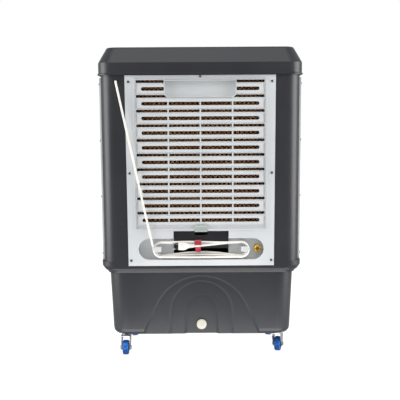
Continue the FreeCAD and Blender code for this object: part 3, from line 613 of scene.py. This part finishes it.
# %% Drain cap
def make_drain_cap():
    z, base = 107.6, 172.5
    rim = disc(17.0, 7.0, (0, base + 3.5, z), "Y", 72)
    only(rim)
    for vertex in rim.data.vertices:
        local = Vector((vertex.co.x, vertex.co.y))
        angle = math.atan2(local.y, local.x)
        if round(angle / (2 * math.pi / 72)) % 3 == 0:
            vertex.co.x *= 0.965
            vertex.co.y *= 0.965
    bevelled(rim, 0.5, 2, 50)
    step = bevelled(disc(13.6, 2.0, (0, base + 7.4, z), "Y", 48), 0.7, 3)
    bar = bevelled(block((-10, base + 7.6, z - 2.1), (10, base + 10.0, z + 2.1)), 0.8, 3)
    dots = [bevelled(disc(1.5, 1.0, (s * 6.0, base + 8.6, z + t * 6.2), "Y", 20), 0.3, 2)
            for s in (-1, 1) for t in (-1, 1)]
    spigot = disc(7.9, 9, (0, base - 4.4, z), "Y", 32)
    cap = join([rim, step, bar, spigot] + dots)
    return seal(cap, "knurled_drain_cap", cream_polyethylene, "drain_cap", ["drain_cap"])


make_drain_cap()

# %% [markdown]
# Panel screws have a pan head with a cross recess. One head is modelled with its recess and copied to
# every place, turned a little differently each time, as screws are.

# %% Panel screws
def screw_places():
    """(place, outward direction) of each head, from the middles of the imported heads."""
    mesh = bmesh.new()
    mesh.from_mesh(nodes["panel_screws"].data)
    bmesh.ops.remove_doubles(mesh, verts=mesh.verts, dist=1e-5)
    left, places = set(mesh.verts), []
    while left:
        group, queue = set(), [left.pop()]
        while queue:
            vertex = queue.pop()
            group.add(vertex)
            for edge in vertex.link_edges:
                other = edge.other_vert(vertex)
                if other in left:
                    left.remove(other)
                    queue.append(other)
        low = Vector([min(v.co[i] for v in group) for i in range(3)])
        high = Vector([max(v.co[i] for v in group) for i in range(3)])
        size = high - low
        axis = min(range(3), key=lambda i: size[i])
        sign = 1 if (low + high)[axis] > 0 else -1
        base = (low + high) / 2
        base[axis] = low[axis] if sign > 0 else high[axis]
        way = Vector((0, 0, 0))
        way[axis] = sign
        places.append((base, way))
    mesh.free()
    return sorted(places, key=lambda place: tuple(place[0]))


def make_screws():
    dice = random.Random(7)
    head = disc(4.1, 2.1, (0, 0, 1.05), "Z", 32)
    bevelled(head, 0.9, 3)
    cross = join([block((-2.4, -0.45, 1.0), (2.4, 0.45, 3.0)),
                  block((-0.45, -2.4, 1.0), (0.45, 2.4, 3.0))])
    cut = head.modifiers.new("recess", "BOOLEAN")
    cut.object = cross
    cut.operation = "DIFFERENCE"
    cut.use_self = True
    apply_all(head)
    bpy.data.objects.remove(cross)
    only(head)
    bpy.ops.object.transform_apply(location=True, rotation=True, scale=True)
    heads = []
    for base, way in screw_places():
        data = head.data.copy()
        turn = Vector((0, 0, 1)).rotation_difference(way).to_matrix().to_4x4()
        spin = Matrix.Rotation(dice.uniform(0, math.pi), 4, "Z")
        data.transform(Matrix.Translation(base) @ turn @ spin)
        copy = bpy.data.objects.new("head", data)
        bpy.context.scene.collection.objects.link(copy)
        heads.append(copy)
    bpy.data.objects.remove(head)
    return seal(join(heads), "cross_head_screws", screw_steel, "cabinet", ["panel_screws"])


make_screws()

# %% [markdown]
# The object stands on a lit white table in a white studio, so that its foot and its recesses are
# filled with light from below. The camera sees table and background at full white, while the object
# gets less light from them, so that dark plastic keeps its tone. A wide soft light hangs above the
# rear, and a tall strip on each side draws the pale lines down the rounded corners. A low light at
# the foot picks out the relief of the tank, and a weak one fills the front.

# %% Studio
scene = bpy.context.scene
scene.view_settings.view_transform = "Standard"
start_clean()
bpy.ops.mesh.primitive_plane_add(size=30, location=(0, 0, 0))
floor = bpy.context.object
floor.name = "studio_floor"
paper, tree, shader, place = blank("studio_paper")
shader.inputs["Base Color"].default_value = linear("#6c6c6c")
shader.inputs["Roughness"].default_value = 0.8
shader.inputs["Emission Color"].default_value = (1, 1, 1, 1)
seen = add(tree, "ShaderNodeLightPath").outputs["Is Camera Ray"]
glow = add(tree, "ShaderNodeMapRange", [("Value", seen), ("To Min", 0.40), ("To Max", 1.0)])
tree.links.new(glow.outputs["Result"], shader.inputs["Emission Strength"])
dress(floor, paper)

world = bpy.data.worlds.new("studio")
scene.world = world
world.use_nodes = True
world.node_tree.nodes["Background"].inputs["Color"].default_value = (1, 1, 1, 1)
seen = add(world.node_tree, "ShaderNodeLightPath").outputs["Is Camera Ray"]
glow = add(world.node_tree, "ShaderNodeMapRange", [("Value", seen), ("To Min", 0.46), ("To Max", 1.0)])
world.node_tree.links.new(glow.outputs["Result"], world.node_tree.nodes["Background"].inputs["Strength"])


def softbox(name, place, target, width, height, watts):
    lamp = bpy.data.lights.new(name, "AREA")
    lamp.shape = "RECTANGLE"
    lamp.size, lamp.size_y = width, height
    lamp.energy = watts
    obj = bpy.data.objects.new(name, lamp)
    scene.collection.objects.link(obj)
    obj.location = place
    obj.rotation_euler = (Vector(target) - Vector(place)).to_track_quat("-Z", "Y").to_euler()
    return obj


middle = (0, 0, 0.55)
softbox("top_light", (0.2, 1.6, 3.2), middle, 2.4, 2.0, 27)
softbox("left_strip", (2.1, 0.6, 0.9), (0.34, 0.1, 0.6), 1.5, 2.4, 58)
softbox("right_strip", (-2.1, 0.6, 0.9), (-0.34, 0.1, 0.6), 1.5, 2.4, 62)
softbox("foot_light", (0, 0.37, 0.012), (0, 0.37, 1.0), 0.9, 0.26, 2.6)
softbox("front_fill", (-0.6, -2.6, 2.0), middle, 2.0, 2.0, 12)

# %% [markdown]
# The camera stands 3 m behind the rear face, a little above the middle of the object, and looks down
# by five degrees. Its horizon leans by a third of a degree.

# %% Camera
lens = bpy.data.cameras.new("camera")
lens.sensor_width = 36
lens.lens = 81.1
lens.shift_x = -0.0022
REAR_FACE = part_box("rear_panel")[1][1] - 0.002
camera = bpy.data.objects.new("camera", lens)
scene.collection.objects.link(camera)
view = (Matrix.Translation((0, REAR_FACE + 3.0, 0.799)) @ Matrix.Rotation(math.pi, 4, "Z")
        @ Matrix.Rotation(math.radians(85), 4, "X") @ Matrix.Rotation(math.radians(-0.35), 4, "Z"))
camera.matrix_world = view
scene.camera = camera
